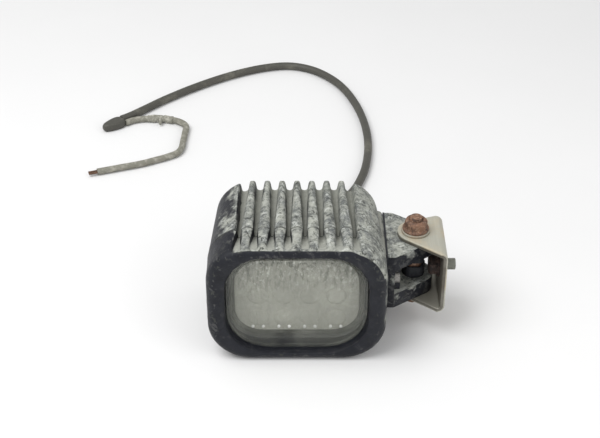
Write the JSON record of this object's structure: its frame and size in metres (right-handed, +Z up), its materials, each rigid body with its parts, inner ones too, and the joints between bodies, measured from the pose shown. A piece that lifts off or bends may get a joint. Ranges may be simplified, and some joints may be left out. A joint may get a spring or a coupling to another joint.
{
  "type": "work lamp",
  "caption": "Finned cast work lamp with a recessed rounded lens, a rubber-damped side carrier, a swivelling U-bracket with a mounting bolt, and a cable.",
  "frame": {"origin": "middle of the flat underside that the lamp rests on, under the middle of the head", "axes": "+X to the right seen from the lens, towards the bracket; +Y to the rear, away from the lens; +Z up"},
  "size_m": [0.2733, 0.4042, 0.09],
  "materials": {
    "housing": "cast and painted, weathered",
    "bezel": "cast, semi-matte black",
    "rubber": "matte",
    "screw_steel": "zinc plated",
    "lens": "hazed",
    "retainer": "moulded",
    "optic": "moulded clear",
    "light_board": "white solder mask",
    "emitter": "phosphor",
    "thermal": "silicone pad",
    "driver_green": "green solder mask",
    "ferrite": "wound core",
    "capacitor": "sleeved",
    "chip": "epoxy",
    "terminal": "moulded",
    "wire_red": "insulation",
    "gland": "moulded nylon",
    "boot": "matte",
    "carrier": "cast, weathered",
    "rust": "rusted steel",
    "bracket": "plated, stained",
    "washer": "plated",
    "dark_bolt": "dark rusted steel",
    "cable": "dirty sheath",
    "tail": "dusty sheath",
    "tape": "cloth tape",
    "copper": "stranded core"
  },
  "bodies": {
    "head": {"rear_housing": "housing", "front_bezel": "bezel", "bezel_seal": "rubber", "bezel_screws": "screw_steel", "lens": "lens", "lens_seal": "rubber", "optic_tray": "retainer", "optic_array": "optic", "led_board": "light_board", "led_emitters": "emitter", "thermal_pad": "thermal", "board_screws": "screw_steel", "driver_board": "driver_green", "driver_inductor": "ferrite", "driver_capacitors": "capacitor", "driver_chips": "chip", "terminal_block": "terminal", "driver_screws": "screw_steel", "inner_wires": "wire_red", "breather_vent": "gland", "gland_body": "gland", "gland_seal": "boot", "gland_nut": "gland", "strain_relief": "boot", "side_carrier": "carrier", "carrier_pad": "rubber", "carrier_screws": "screw_steel", "upper_bush": "rubber", "lower_bush": "rubber", "lamp_cable": "cable", "splice_cap": "boot", "tail_lead": "tail", "tape_wrap": "tape", "tail_cores": "copper"},
    "bracket": {"u_bracket": "bracket", "pivot_bolt": "rust", "pivot_nut": "rust", "pivot_washers": "washer", "spacer_tube": "rust"},
    "stud": {"mount_bolt": "dark_bolt", "mount_washer": "dark_bolt"}
  },
  "joints": [
    {"name": "bracket_swivel", "type": "hinge", "parent": "head", "child": "bracket", "pos_m": [0.0785, 0.0085, 0.044], "axis": [0, 0, 1], "range_deg": [-60, 60]},
    {"name": "stud_turn", "type": "hinge", "parent": "bracket", "child": "stud", "pos_m": [0.098, 0.004, 0.044], "axis": [1, 0, 0], "continuous": true}
  ]
}
